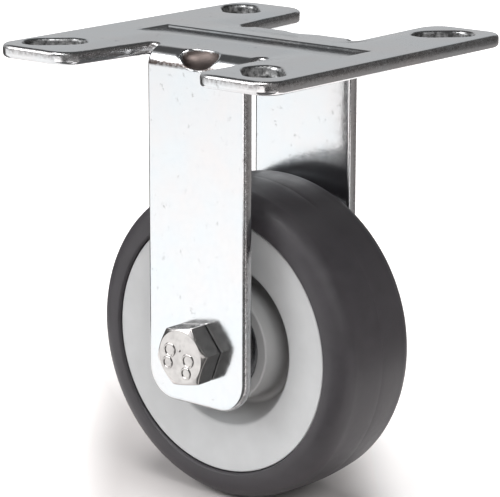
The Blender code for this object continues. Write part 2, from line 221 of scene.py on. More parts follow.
# Strength number on the bolt head, as offsets (along X, along Z) from its middle
digit_places = ((0.00205, -0.0020), (-0.00335, -0.0003))
digit_slant = math.radians(-12)
digit_upper_radius = 0.00122
digit_lower_radius = 0.00145
digit_spread = 0.00155
point_place = (-0.0002, 0.00146)

# Screens, cards and mats that only the metal mirrors, with the screens' ends in degrees from +X
black_screen_start = -58
screens_meet = 10
grey_screen_end = 95
screen_distance = 0.42
screen_height = 0.45
card_distance = 0.13
card_half_width = 0.169
card_height = 0.09
black_card_corners = ((-0.15, 0.25), (-0.15, -0.07))
black_card_height = 0.10
mat_height = 0.0004
dark_mat_corners = ((0.0, -0.32), (0.30, -0.035))
bright_mat_corners = ((-1.6, -1.8), (0.0, -0.035))
top_sheet_corners = ((-0.13, -0.38), (0.15, -0.16))
top_sheet_height = 0.50
black_brightness = 0.03
grey_screen_brightness = 0.06
grey_card_brightness = 0.24
dark_mat_brightness = 0.04
top_sheet_brightness = 8.5
warm_tint = (1, 0.95, 0.925)
cool_tint = (0.995, 1, 1)
white = (1, 1, 1)

# The room that the metal mirrors: where its parts fade in, on each coordinate of the unit direction
left_side_fade = (0.15, -0.15)
wall_side_fade = (-0.1, 0.15)
wall_top_fade = (0.56, 0.42)
sheet_side_fade = (0.0, -0.25)
sheet_foot_fade = (0.18, 0.27)
sheet_top_fade = (0.76, 0.66)
ceiling_brightness = 0.085
room_tint = (0.97, 0.985, 1)

# Floor: its glow keeps the background white, and leaves out the castor's shadow
floor_size = 6.0
floor_drop = 0.0001
shadow_middle = -0.0055
shadow_half_width = 0.0435
shadow_fade = 0.018
near_glow = 0.5
near_glow_fade = (0.065, 0.12)
far_glow = 0.6
far_glow_fade = (0.15, 0.7)

# Lamps: place and size. The one overhead isn't mirrored
lamps = {
    "key": ((-0.50, -0.58, 0.48), 0.50),
    "fill": ((0.68, -0.42, 0.52), 0.45),
    "overhead": ((0.03, -0.06, 0.79), 0.60),
}

# Worked out from the sizes above
ear_inner_edge = plate_half_length - ear_width
leg_half_width = ear_inner_edge - relief_width
relief_middle = leg_half_width + relief_width / 2
bend_outside_radius = bend_inside_radius + sheet_thickness
bend_start = fork_half_width - bend_outside_radius
bend_length = (bend_inside_radius + sheet_thickness / 2) * math.pi / 2
bend_end = bend_start + bend_length
panel_top = total_height - panel_drop
leg_top = panel_top - bend_outside_radius
axle_along_blank = bend_end + leg_top - axle_height
leg_end_along_blank = bend_end + leg_top - plate_low[2]
ball_circle_radius = (inner_shoulder_radius + outer_shoulder_radius) / 2
bearing_middle = (bearing_inner_face + bearing_outer_face) / 2
head_height = -bolt_low[1] - fork_half_width - fit_gap


class CastorSizes(bpy.types.PropertyGroup):
    """Fine sizes of the castor's dressing."""

    edge_round: FloatProperty(
        name="Sheet edge", description="Rounding of the bracket's sheared edges", default=0.0009, unit="LENGTH")
    dart_blend: FloatProperty(
        name="Dart rim", description="How gently the stiffening darts run out into the bend", default=0.00028,
        unit="LENGTH")
    hexagon_round: FloatProperty(
        name="Hexagon edges", description="Rounding of the bolt's and nut's edges", default=0.00016, unit="LENGTH")
    thread_pitch: FloatProperty(
        name="Thread pitch", description="Advance of the bolt's thread in one turn", default=0.00125, unit="LENGTH")
    mark_height: FloatProperty(
        name="Head mark", description="How far the strength number stands out of the bolt head", default=0.00028,
        unit="LENGTH")
    mark_stroke: FloatProperty(
        name="Mark stroke", description="Width of the strength number's strokes", default=0.00055, unit="LENGTH")
    shoulder_radius: FloatProperty(
        name="Tyre shoulder", description="Rounding between the tread and the tyre's sides", default=0.0048,
        unit="LENGTH")
    plastic_round: FloatProperty(
        name="Wheel edges", description="Rounding of the moulded wheel centre's edges", default=0.0005,
        unit="LENGTH")


class CastorColours(bpy.types.PropertyGroup):
    """Colours of the castor's finishes."""

    zinc: FloatVectorProperty(
        name="Zinc", description="Plated bracket", default=(0.75, 0.755, 0.76), subtype="COLOR", size=3)
    bolt: FloatVectorProperty(
        name="Bolt", description="Plated bolt, nut and bushes", default=(0.60, 0.575, 0.56), subtype="COLOR", size=3)
    plastic: FloatVectorProperty(
        name="Plastic", description="Moulded wheel centre", default=(0.57, 0.58, 0.585), subtype="COLOR", size=3)
    rubber: FloatVectorProperty(
        name="Rubber", description="Tyre", default=(0.048, 0.044, 0.049), subtype="COLOR", size=3)
    bearing: FloatVectorProperty(
        name="Bearing steel", description="Races and balls", default=(0.56, 0.56, 0.57), subtype="COLOR", size=3)
    shield: FloatVectorProperty(
        name="Shields", description="Bearing shields", default=(0.42, 0.42, 0.43), subtype="COLOR", size=3)
    nylon: FloatVectorProperty(
        name="Nylon", description="Locking ring and ball cages", default=(0.80, 0.80, 0.76), subtype="COLOR", size=3)


class CastorLight(bpy.types.PropertyGroup):
    """Light and floor of the studio."""

    key: FloatProperty(name="Key", description="Softbox at the left, in watts", default=3.2)
    fill: FloatProperty(name="Fill", description="Softbox at the right, in watts", default=3.4)
    overhead: FloatProperty(name="Overhead", description="Softbox above, in watts", default=5.2)
    floor: FloatVectorProperty(
        name="Floor", description="Colour of the floor", default=(0.76, 0.725, 0.715), subtype="COLOR", size=3)
    mat: FloatProperty(
        name="Bright mat", description="Brightness of the pale sheet that the legs mirror", default=1.03)
    backdrop: FloatProperty(
        name="Backdrop", description="Brightness of the grey wall that the plate mirrors", default=0.45)


def smooth_step(value):
    value = min(max(value, 0.0), 1.0)
    return value * value * (3 - 2 * value)


def arc(centre, radius, start, end, steps=corner_steps):
    """Points from one angle to another, both in degrees."""
    turns = [math.radians(start + (end - start) * k / steps) for k in range(steps + 1)]
    return [(centre[0] + radius * math.cos(a), centre[1] + radius * math.sin(a)) for a in turns]


def rounded(corners, steps=round_steps):
    """A section whose corners are softened: each corner is (radius, height, setback)."""
    points = []
    for k, (radius, height, setback) in enumerate(corners):
        corner = Vector((radius, height))
        if not setback:
            points.append(tuple(corner))
            continue
        before, after = Vector(corners[k - 1][:2]), Vector(corners[(k + 1) % len(corners)][:2])
        start = corner + (before - corner).normalized() * setback
        end = corner + (after - corner).normalized() * setback
        for t in (step / steps for step in range(steps + 1)):
            points.append(tuple(start * (1 - t) ** 2 + corner * 2 * t * (1 - t) + end * t * t))
    return points


def skin(shape, rows, first_row=0, first_point=0):
    """Lays faces between rows of points, all the way round, or open where the first row or point is 1."""
    for k in range(first_row, len(rows)):
        for j in range(first_point, len(rows[k])):
            shape.faces.new((rows[k - 1][j - 1], rows[k - 1][j], rows[k][j], rows[k][j - 1]))


def around_axle(shape, radius, turn, height):
    return shape.verts.new((radius * math.cos(turn), height, axle_height + radius * math.sin(turn)))


def turned(section, steps, middle=0.0):
    """Mesh of a closed section of (radius, height) points turned about the axle, its heights along +Y."""
    shape = bmesh.new()
    turns = [2 * math.pi * k / steps for k in range(steps)]
    skin(shape, [[around_axle(shape, radius, turn, middle + height) for radius, height in section] for turn in turns])
    return finished_mesh(shape)


def finished_mesh(shape):
    bmesh.ops.remove_doubles(shape, verts=shape.verts, dist=merge_distance)
    bmesh.ops.recalc_face_normals(shape, faces=shape.faces)
    mesh = bpy.data.meshes.new("piece")
    shape.to_mesh(mesh)
    shape.free()
    return mesh


def add_piece(node, mesh, finish_name, body):
    """Places a fine piece in the scene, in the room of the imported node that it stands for."""
    mesh.name = f"{node}_fine"
    piece = bpy.data.objects.new(mesh.name, mesh)
    bpy.context.scene.collection.objects.link(piece)
    mesh.materials.append(finish(finish_name))
    mesh.shade_smooth()
    mesh.set_sharp_from_angle(angle=sharp_angle)
    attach(piece, body)
    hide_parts(node)
    return piece


def keep_flats_flat(piece):
    """Weights the shading to the large faces, so that narrow roundings don't darken the flats beside them."""
    weights = piece.modifiers.new("flat_faces", "WEIGHTED_NORMAL")
    weights.mode = "FACE_AREA"
    weights.keep_sharp = True
    weights.weight = flat_face_weight


# Finishes

def fill_inputs(tree, node, **inputs):
    """Fills a node's inputs, given by number, as _0, or by name, with _ for a space, with values or sockets."""
    for name, value in inputs.items():
        socket = node.inputs[int(name[1:])] if name[1:].isdigit() else node.inputs[name.replace("_", " ")]
        if isinstance(value, bpy.types.NodeSocket):
            tree.links.new(value, socket)
        else:
            socket.default_value = (*value, 1) if socket.type == "RGBA" else value


def add_node(tree, kind, settings=None, **inputs):
    node = tree.nodes.new("ShaderNode" + kind)
    for name, value in (settings or {}).items():
        setattr(node, name, value)
    fill_inputs(tree, node, **inputs)
    return node


def computed(tree, operation, first, second=0.0, third=0.0, **settings):
    return add_node(tree, "Math", {"operation": operation, **settings}, _0=first, _1=second, _2=third).outputs[0]


def vector_computed(tree, operation, result="Vector", **inputs):
    return add_node(tree, "VectorMath", {"operation": operation}, **inputs).outputs[result]


def mixed(tree, share, first, second, **settings):
    return add_node(tree, "Mix", {"data_type": "RGBA", **settings}, Factor=share, _6=first, _7=second).outputs[2]


def spots(tree, size, detail=2.0, roughness=0.5, stretch=(1, 1, 1)):
    """Cloudy noise whose clouds are about this size, in metres."""
    place = add_node(tree, "TexCoord").outputs["Object"]
    mapped = add_node(tree, "Mapping", Vector=place, Scale=tuple(1 / (size * s) for s in stretch))
    return add_node(tree, "TexNoise", Vector=mapped.outputs[0], Scale=1.0, Detail=detail,
                    Roughness=roughness).outputs[0]


def ranged(tree, amount, low, high, start=0.3, end=0.7, **settings):
    """Goes from low to high while the amount goes from start to end."""
    return add_node(tree, "MapRange", settings, Value=amount, From_Min=start, From_Max=end, To_Min=low,
                    To_Max=high).outputs[0]


def rising(tree, amount, start, end, top=1.0):
    return ranged(tree, amount, 0.0, top, start, end, interpolation_type="SMOOTHSTEP")


def shaded(tree, amount, low, high, start=0.3, end=0.7):
    """Blends between two colours by a noise."""
    return mixed(tree, ranged(tree, amount, 0.0, 1.0, start, end), low, high)


def paint(tree, shader, colour, roughness, bumps, metallic=0.0):
    """Joins a finish's parts to its shader. Its bumps, laid over each other, are (noise, depth in metres) pairs."""
    fill_inputs(tree, shader, Base_Color=colour, Roughness=roughness, Metallic=metallic)
    normal = shader.inputs["Normal"]
    for noise, depth in reversed(bumps):
        bump = add_node(tree, "Bump", Height=noise, Distance=depth, Strength=1.0)
        tree.links.new(bump.outputs[0], normal)
        normal = bump.inputs["Normal"]


def scaled(colour, share):
    return tuple(min(channel * share, 1.0) for channel in colour)


def tinted(colour, tint):
    return tuple(min(channel * share, 1.0) for channel, share in zip(colour, tint))


def new_finish(name):
    material = bpy.data.materials.new(name)
    material.use_nodes = True
    return material, material.node_tree, material.node_tree.nodes["Principled BSDF"]


def zinc_finish(name, colour):
    """Bright zinc plating on cold-rolled sheet: cloudy, faintly bluish and pink, with pits, a fine grain and painted
    shade in the darts, along the bends and on the sheared edges.
    """
    material, tree, shader = new_finish(name)
    clouds = spots(tree, 0.012, 3.0)
    mottling = spots(tree, 0.0016, 4.0, 0.6)
    rolled = spots(tree, 0.0009, 2.0, 0.5, (9, 1, 1))
    ripples = spots(tree, 0.0013, 3.0, 0.55)
    grain = spots(tree, 0.00022, 2.0)
    tint = shaded(tree, clouds, tinted(colour, (0.975, 1.01, 1.03)), tinted(colour, (1.02, 0.99, 0.985)))
    mottled = mixed(tree, 1.0, tint, shaded(tree, mottling, (0.955, 0.96, 0.965), white), blend_type="MULTIPLY")
    # Painted shade from the mesh darkens the plating in the darts, low on the bends and on the sheared edges, broken
    # up by specks; the pits are real dark spots.
    stain = add_node(tree, "Attribute", {"attribute_name": "stain"}).outputs["Fac"]
    specks = ranged(tree, spots(tree, 0.0007, 3.0, 0.6), 0.55, 1.45, 0.4, 0.62)
    pits = ranged(tree, spots(tree, 0.0021, 5.0, 0.7), 0.0, 0.3, 0.62, 0.72)
    shade_and_pits = computed(tree, "MULTIPLY_ADD", stain, specks, pits, use_clamp=True)
    shaded_and_pitted = mixed(tree, shade_and_pits, mottled, tinted(colour, (0.16, 0.13, 0.12)))
    roughness = computed(tree, "MULTIPLY_ADD", shade_and_pits, 0.3, ranged(tree, mottling, 0.1, 0.19))
    bumps = [(clouds, 0.00004), (rolled, 0.000004), (ripples, 0.000008), (grain, 0.0000016)]
    paint(tree, shader, shaded_and_pitted, roughness, bumps, metallic=1.0)
    return material


def punched_finish(name, colour):
    """The torn and burnished wall that a punch leaves: dull grey with bright streaks through the sheet."""
    material, tree, shader = new_finish(name)
    clouds = spots(tree, 0.0016, 3.0, 0.6)
    streaks = spots(tree, 0.0006, 3.0, 0.6, (1, 1, 6))
    tint = shaded(tree, clouds, scaled(colour, 0.12), scaled(colour, 0.75), 0.42, 0.68)
    paint(tree, shader, tint, ranged(tree, clouds, 0.5, 0.3), [(streaks, 0.00006)], metallic=1.0)
    return material


def bolt_finish(name, colour):
    """Thin plating on forged and turned steel, slightly cloudy."""
    material, tree, shader = new_finish(name)
    clouds = spots(tree, 0.0025, 4.0, 0.6)
    grain = spots(tree, 0.00018, 3.0)
    tint = shaded(tree, clouds, scaled(colour, 0.86), colour, 0.35, 0.6)
    bumps = [(clouds, 0.00003), (grain, 0.000003)]
    paint(tree, shader, tint, ranged(tree, clouds, 0.24, 0.14), bumps, metallic=1.0)
    return material


def plastic_finish(name, colour):
    """Moulded polypropylene: satin, with slight flow clouding, a fine grain, and painted shade on the hub and in the
    recess.
    """
    material, tree, shader = new_finish(name)
    clouds = spots(tree, 0.006, 3.0)
    grain = spots(tree, 0.0003, 3.0)
    tint = shaded(tree, clouds, scaled(colour, 0.96), scaled(colour, 1.03))
    place = add_node(tree, "TexCoord").outputs["Object"]
    along = add_node(tree, "SeparateXYZ", Vector=place).outputs[1]
    # Painted shade: the plastic darkens deeper in the recess and on the hub's face, where the leg's shadow falls.
    recess_shade = ranged(tree, computed(tree, "ABSOLUTE", along), 0.0, 0.7, recess_rim_half_width, web_thickness / 2)
    across = vector_computed(tree, "MULTIPLY_ADD", _0=place, _1=(1, 0, 1), _2=(0, 0, -axle_height))
    from_axle = vector_computed(tree, "LENGTH", "Value", _0=across)
    hub_face_shade = ranged(tree, from_axle, 0.42, 0.0, boss_radius, recess_floor_radius)
    hub_and_recess_shade = computed(tree, "MAXIMUM", recess_shade, hub_face_shade)
    shaded_plastic = mixed(tree, hub_and_recess_shade, tint, tinted(colour, (0.38, 0.355, 0.345)))
    paint(tree, shader, shaded_plastic, ranged(tree, clouds, 0.38, 0.46), [(clouds, 0.00002), (grain, 0.000008)])
    return material


def rubber_finish(name, colour):
    """Moulded rubber: a dull grey bloom over darker ground, slightly uneven."""
    material, tree, shader = new_finish(name)
    bloom = spots(tree, 0.004, 4.0, 0.6)
    grain = spots(tree, 0.00028, 3.0)
    tint = shaded(tree, bloom, scaled(colour, 0.88), scaled(colour, 1.12))
    fill_inputs(tree, shader, Specular_IOR_Level=0.45)
    paint(tree, shader, tint, ranged(tree, bloom, 0.4, 0.52), [(bloom, 0.00005), (grain, 0.00002)])
    return material


def bearing_finish(name, colour, roughness):
    """Ground steel, with fine marks that run round the axle."""
    material, tree, shader = new_finish(name)
    clouds = spots(tree, 0.0015, 3.0)
    marks = spots(tree, 0.0002, 2.0, 0.5, (1, 6, 1))
    tint = shaded(tree, clouds, scaled(colour, 0.85), colour)
    paint(tree, shader, tint, ranged(tree, clouds, roughness, roughness + 0.1), [(marks, 0.000004)], metallic=1.0)
    return material


def nylon_finish(name, colour):
    """Natural nylon: milky, faintly cloudy and satin."""
    material, tree, shader = new_finish(name)
    clouds = spots(tree, 0.002, 3.0)
    tint = shaded(tree, clouds, scaled(colour, 0.93), colour)
    paint(tree, shader, tint, ranged(tree, clouds, 0.38, 0.5), [(spots(tree, 0.0003, 2.0), 0.00001)])
    return material


def finish(name):
    """The finish of this name, made when it is first asked for."""
    colours = bpy.context.scene.castor_colours
    makers = {
        "bright_zinc": (zinc_finish, colours.zinc),
        "punched_zinc": (punched_finish, colours.zinc),
        "forged_zinc": (bolt_finish, colours.bolt),
        "satin_plastic": (plastic_finish, colours.plastic),
        "moulded_rubber": (rubber_finish, colours.rubber),
        "ground_steel": (bearing_finish, colours.bearing, 0.14),
        "pressed_shield": (bearing_finish, colours.shield, 0.3),
        "milky_nylon": (nylon_finish, colours.nylon),
    }
    maker, *values = makers[name]
    return bpy.data.materials.get(name) or maker(name, *values)


# Bracket

def blank_outline():
    """The flat blank: along one ear, round its relief notch and down the leg, then the same in its mirrors."""
    outer, inner = ear_outer_corner_radius, ear_inner_corner_radius
    notch_height = bend_start - bpy.context.scene.castor_sizes.edge_round + relief_width / 2
    quarter = arc((plate_half_length - outer, plate_half_width - outer), outer, 0, 90)
    quarter += arc((ear_inner_edge + ear_taper + inner, plate_half_width - inner), inner, 90, 180)
    quarter += arc((relief_middle, notch_height), relief_width / 2, 0, -180)
    leg_corner = (leg_half_width - leg_corner_radius, leg_end_along_blank - leg_corner_radius)
    quarter += arc(leg_corner, leg_corner_radius, 0, 90)
    half = quarter + [(-x, s) for x, s in reversed(quarter)]
    return half + [(x, -s) for x, s in reversed(half)]


def slot_outline(middle, angle):
    straight = (slot_length - slot_width) / 2
    ends = arc((straight, 0), slot_width / 2, -90, 90, slot_steps)
    ends += arc((-straight, 0), slot_width / 2, 90, 270, slot_steps)
    turn = Matrix.Rotation(angle, 2)
    return [tuple(Vector(middle) + turn @ Vector(point)) for point in ends]


def blank_holes():
    holes = []
    for side in (1, -1):
        for end in (1, -1):
            across = slot_shift + side * (plate_half_length - slot_from_side)
            holes.append(slot_outline((across, end * (plate_half_width - slot_from_end)), side * end * slot_angle))
        holes.append(arc((0, side * axle_along_blank), axle_hole_radius, 0, 360, 2 * slot_steps)[:-1])
    return holes


def flat_blank():
    """The punched blank as a closed mesh, its outside face at zero height and its edges rounded."""
    edge_round = bpy.context.scene.castor_sizes.edge_round
    curve = bpy.data.curves.new("blank", "CURVE")
    curve.dimensions = "2D"
    curve.fill_mode = "BOTH"
    curve.extrude = sheet_thickness / 2 - edge_round
    curve.bevel_depth = edge_round
    curve.bevel_resolution = edge_steps
    curve.offset = -edge_round
    for outline in [blank_outline()] + blank_holes():
        spline = curve.splines.new("POLY")
        spline.points.add(len(outline) - 1)
        for point, (x, s) in zip(spline.points, outline):
            point.co = (x, s, 0, 1)
        spline.use_cyclic_u = True
    guide = bpy.data.objects.new("blank", curve)
    bpy.context.scene.collection.objects.link(guide)
    graph = bpy.context.evaluated_depsgraph_get()
    mesh = bpy.data.meshes.new_from_object(guide.evaluated_get(graph))
    bpy.data.objects.remove(guide)
    blank = bmesh.new()
    blank.from_mesh(mesh)
    bpy.data.meshes.remove(mesh)
    bmesh.ops.remove_doubles(blank, verts=blank.verts, dist=blank_merge_distance)
    bmesh.ops.translate(blank, verts=blank.verts, vec=(0, 0, -sheet_thickness / 2))
    return blank


def spaced(start, end, step):
    count = max(1, round((end - start) / step))
    return [start + (end - start) * k / count for k in range(count + 1)]


def fold_lines():
    """Distances along the blank at which it is cut into strips, fine where a bend and its dart lie."""
    bend = spaced(bend_start, bend_end, bend_length / bend_steps)
    beside = spaced(bend_start - dart_reach_above, bend_start, dart_grid_along)[:-1]
    below = spaced(bend_end, bend_end + dart_reach_below, dart_grid_along)[1:]
    bow = spaced(pocket_far_edge, bend_start - dart_reach_above, bow_strip)[1:-1]
    ear = spaced(bend_end + ear_strips_start, plate_half_width, ear_strip)[:-1]
    wall = spaced(pocket_far_edge - pocket_wall, pocket_far_edge, pocket_wall / 8)
    floor = spaced(pocket_near_edge, 0.0, pocket_strip)
    return [side * s for side in (1, -1) for s in bend + beside + below + bow + ear] + wall + floor


def forming_lines():
    """Distances from the blank's middle line at which it is cut for its darts and pressed forms."""
    dart = spaced(-dart_grid_half_width, dart_grid_half_width, dart_grid_across)
    ramp = spaced(relief_middle, relief_middle + panel_ramp, ramp_strip)
    walls = spaced(pocket_left_end, pocket_left_end + pocket_wall, pocket_wall / 6)
    walls += spaced(pocket_right_end - pocket_wall, pocket_right_end, pocket_wall / 6)
    return dart + [side * x for side in (1, -1) for x in ramp] + walls


def pressed_depth(x, s):
    """How far the plate lies below its ears here: it bows down to its bends and has a pocket pressed in it."""
    sunk = 1 - smooth_step((abs(x) - relief_middle) / panel_ramp)
    bow = smooth_step((abs(s) - pocket_far_edge) / (bend_start - pocket_far_edge))
    beyond_root = max(abs(s) - bend_start, 0) / (plate_half_width - bend_start) if abs(x) > relief_middle else 0
    depth = panel_drop * sunk * bow * (1 - ear_recovery * beyond_root)
    if pocket_near_edge < s < pocket_far_edge:
        ramp = (s - pocket_near_edge) / (pocket_far_edge - pocket_wall - pocket_near_edge)
        far_wall = smooth_step((pocket_far_edge - s) / pocket_wall)
        side_wall = smooth_step(min(x - pocket_left_end, pocket_right_end - x) / pocket_wall)
        depth = max(depth, pocket_depth * min(ramp, far_wall, side_wall, 1))
    return depth


def folded(point):
    """Where a point of the flat blank lies on the folded bracket."""
    x, s, height = point
    side = math.copysign(1, s)
    top = total_height - pressed_depth(x, s)
    if abs(s) <= bend_start or abs(x) > relief_middle:
        y, z = s, top + height
    elif abs(s) < bend_end:
        turn = (abs(s) - bend_start) / bend_length * math.pi / 2
        radius = bend_outside_radius + height
        y = side * (bend_start + radius * math.sin(turn))
        z = top - bend_outside_radius + radius * math.cos(turn)
    else:
        y = side * (fork_half_width + height)
        z = top - bend_outside_radius - (abs(s) - bend_end)
    return Vector((x, y, z))


def dart_press(x, s, blend):
    """How deep the rounded punch presses the sheet here, along its own slanted stroke."""
    surface = folded((x, abs(s), 0.0))
    reach = bend_outside_radius - dart_depth + dart_roundness
    across, up = surface.y - bend_start, surface.z - leg_top
    along_stroke = across * math.sin(dart_angle) + up * math.cos(dart_angle) - reach
    beside_stroke = across * math.cos(dart_angle) - up * math.sin(dart_angle)
    spread = (x / dart_half_width) ** 2 + (beside_stroke / dart_half_run) ** 2
    punch_nose = -dart_roundness * math.sqrt(1 - spread) if spread < 1 else dart_roundness * (spread - 1)
    overlap = along_stroke - punch_nose
    if overlap < -3 * blend:
        return 0.0
    return (overlap + math.sqrt(overlap * overlap + blend * blend)) / 2


def with_dart(point, flat_point, blend):
    """Moves a folded point inwards along the punch's stroke, as far as its dart is pressed there."""
    x, s, _ = flat_point
    above, below = abs(s) - bend_start + dart_reach_above, bend_end + dart_reach_below - abs(s)
    inside = min(dart_reach_across - abs(x), above, below)
    if inside < 0:
        return point
    stroke = Vector((0, math.copysign(math.sin(dart_angle), s), math.cos(dart_angle)))
    fade = smooth_step((dart_reach_across - abs(x)) / dart_fade)
    fade *= smooth_step(above / dart_fade) * smooth_step(below / dart_fade)
    return point - stroke * dart_press(x, s, blend) * fade


def painted_shade_at(flat_point, blend):
    """How much painted shade lies here: in the darts, in a band low on a bend and on the sheared edges."""
    x, s, height = flat_point
    if height < -sheet_thickness / 2:
        return 0.0
    if height < -edge_margin:
        return edge_shade
    if abs(x) > relief_middle:
        return 0.0
    if abs(x) < dart_half_width and dart_press(x, s, blend) > dart_shade_starts:
        return dart_press(x, s, blend) / dart_shade_full
    turn = (abs(s) - bend_start) / bend_length
    return bend_shade * smooth_step(1 - abs(turn - bend_shade_turn) / bend_shade_spread)


def inside_slot(face):
    """Whether this face is part of a punched slot's wall."""
    across = abs(abs(face.center.x - slot_shift) - (plate_half_length - slot_from_side))
    along = abs(abs(face.center.y) - (plate_half_width - slot_from_end))
    return abs(face.normal.z) < slot_wall_steepness and math.hypot(across, along) < slot_length / 2 + slot_wall_margin


class CASTOR_OT_bracket(bpy.types.Operator):
    """Folds the sheet-steel bracket with its pocket and stiffening darts"""

    bl_idname = "castor.bracket"
    bl_label = "Bracket"

    def execute(self, context):
        blank = flat_blank()
        for lines, direction in ((fold_lines(), Vector((0, 1, 0))), (forming_lines(), Vector((1, 0, 0)))):
            for place in lines:
                geometry = blank.verts[:] + blank.edges[:] + blank.faces[:]
                bmesh.ops.bisect_plane(
                    blank, geom=geometry, dist=cut_tolerance, plane_co=direction * place, plane_no=direction)
        blend = context.scene.castor_sizes.dart_blend
        # Painted shade: a mesh layer that darkens the plating in the darts, in a band low on each bend and on the
        # sheared edges.
        stain = blank.verts.layers.float.new("stain")
        for vertex in blank.verts:
            flat_point = vertex.co.copy()
            vertex.co = with_dart(folded(flat_point), flat_point, blend)
            vertex[stain] = painted_shade_at(flat_point, blend)
        mesh = finished_mesh(blank)
        piece = add_piece("fork_bracket", mesh, "bright_zinc", "bracket")
        mesh.materials.append(finish("punched_zinc"))
        for face in mesh.polygons:
            if inside_slot(face):
                face.material_index = 1
        keep_flats_flat(piece)
        return {"FINISHED"}


# Bolt, nut and bushes

def hexagon_outline(turn, corner_round, side_steps=10, turn_steps=4):
    """Points round a hexagon with softened corners, as offsets from its middle."""
    points = []
    reach = (hexagon_flats / 2 - corner_round) / math.cos(math.pi / 6)
    for side in range(6):
        middle = turn + side * math.pi / 3
        corner, following, normal = (
            Vector((math.cos(middle + share * math.pi / 3), math.sin(middle + share * math.pi / 3)))
            for share in (0, 1, 0.5))
        for k in range(turn_steps + 1):
            angle = middle - math.pi / 6 + math.pi / 3 * k / turn_steps
            points.append(corner * reach + Vector((math.cos(angle), math.sin(angle))) * corner_round)
        points += [
            corner.lerp(following, k / side_steps) * reach + normal * corner_round for k in range(1, side_steps)]
    return points


def chamfered_height(radius, height):
    return height - max(0.0, radius - chamfer_radius) * math.tan(hexagon_chamfer)


def hexagon_rings(outline, height, soft, both_ends):
    """Rings of (distance, height) from the hexagon's foot, up its sides, to the flat of its face."""
    rings = []
    for point in outline:
        reach = point.length
        high = chamfered_height(reach, height)
        low = height - high if both_ends else 0.0
        foot = [(reach - soft, low + soft * 0.02), (reach - soft * 0.3, low + soft * 0.3), (reach, low + soft)]
        side = [(reach, low + (high - low) * share) for share in (0.25, 0.5, 0.75)]
        rim = [(reach, high - soft), (reach - soft * 0.2, high - soft * 0.2)]
        slope = [reach - soft, (reach - soft + chamfer_radius) / 2, chamfer_radius + soft * 0.4]
        slope = [(radius, chamfered_height(radius, height)) for radius in slope]
        slope += [(chamfer_radius - soft * 0.1, height - soft * 0.05), (chamfer_radius - soft * 0.8, height)]
        inner_foot = [(chamfer_radius - soft if both_ends else bolt_radius, 0.0)]
        rings.append(inner_foot + foot + side + rim + slope)
    return rings


def on_leg(side, offset, height):
    """From a plane beside the near leg (side -1) or the far leg (side 1) to the castor: heights run away from it."""
    return (offset[0], side * (fork_half_width + fit_gap + height), axle_height + offset[1])


def ringed_shape(outline, columns, side):
    """Skins columns of (distance, height) that stand round the outline, on this side's leg."""
    shape = bmesh.new()
    rows = [[shape.verts.new(on_leg(side, point.normalized() * distance, height)) for distance, height in column]
            for point, column in zip(outline, columns)]
    skin(shape, rows, first_point=1)
    return shape


def threaded_shank(shape, start, end, pitch):
    """The bolt's shank, its thread cut over the last stretch and pointed at the tip."""
    depth = pitch * thread_depth_share
    root = bolt_radius - fit_gap
    smooth_end = end - thread_length
    rings = []
    for height in spaced(start, smooth_end, shank_strip) + spaced(smooth_end, end, pitch / 10)[1:]:
        ring = []
        for share in (k / thread_turn_steps for k in range(thread_turn_steps)):
            phase = (height / pitch - share) % 1.0
            groove = max(0.0, 1 - abs(phase - 0.5) * 2.3) * smooth_step((height - smooth_end) / pitch)
            radius = min(root - depth * groove, root - depth * tip_chamfer_share + (end - height))
            ring.append(around_axle(shape, radius, 2 * math.pi * share, height))
        rings.append(ring)
    skin(shape, rings, first_row=1)
    shape.faces.new(reversed(rings[0]))
    shape.faces.new(rings[-1])


def raised_ring(shape, middle, radius, stroke, height, steps=40, section_steps=10):
    """A ring-shaped stroke of the strength number, half sunk in the head's face."""
    loops = []
    for turn in (2 * math.pi * k / steps for k in range(steps)):
        outward = Vector((math.cos(turn), math.sin(turn)))
        loop = []
        for around in (2 * math.pi * j / section_steps for j in range(section_steps)):
            offset = Vector(middle) + outward * (radius + stroke / 2 * math.cos(around))
            loop.append(shape.verts.new(on_leg(-1, offset, head_height + height * math.sin(around))))
        loops.append(loop)
    skin(shape, loops)


def raised_dot(shape, middle, radius, height):
    made = bmesh.ops.create_uvsphere(shape, u_segments=16, v_segments=10, radius=1)
    for vertex in made["verts"]:
        offset = Vector(middle) + Vector((vertex.co.x, vertex.co.y)) * radius
        vertex.co = on_leg(-1, offset, head_height + vertex.co.z * height)


def strength_number(shape, stroke, height):
    """The plain strength number that such bolts carry: an 8, a point and an 8."""
    slant = Matrix.Rotation(digit_slant, 2)
    for place in digit_places:
        for up, radius in ((-digit_spread, digit_upper_radius), (digit_spread, digit_lower_radius)):
            raised_ring(shape, Vector(place) + slant @ Vector((0, up)), radius, stroke, height)
    raised_dot(shape, point_place, stroke * 0.7, height)


class CASTOR_OT_bolt(bpy.types.Operator):
    """Makes the hexagon-headed axle bolt with its thread and strength number"""

    bl_idname = "castor.bolt"
    bl_label = "Axle bolt"

    def execute(self, context):
        sizes = context.scene.castor_sizes
        outline = hexagon_outline(bolt_head_turn, sizes.hexagon_round)
        face = [(chamfer_radius * share, head_height) for share in (0.7, 0.35, 0.0)]
        rings = hexagon_rings(outline, head_height, sizes.hexagon_round, False)
        shape = ringed_shape(outline, [[(0.0, 0.0)] + ring + face for ring in rings], -1)
        bmesh.ops.remove_doubles(shape, verts=shape.verts, dist=merge_distance)
        threaded_shank(shape, -fork_half_width - head_height / 2, bolt_high[1], sizes.thread_pitch)
        strength_number(shape, sizes.mark_stroke, sizes.mark_height)
        keep_flats_flat(add_piece("axle_bolt", finished_mesh(shape), "forged_zinc", "bracket"))
        return {"FINISHED"}


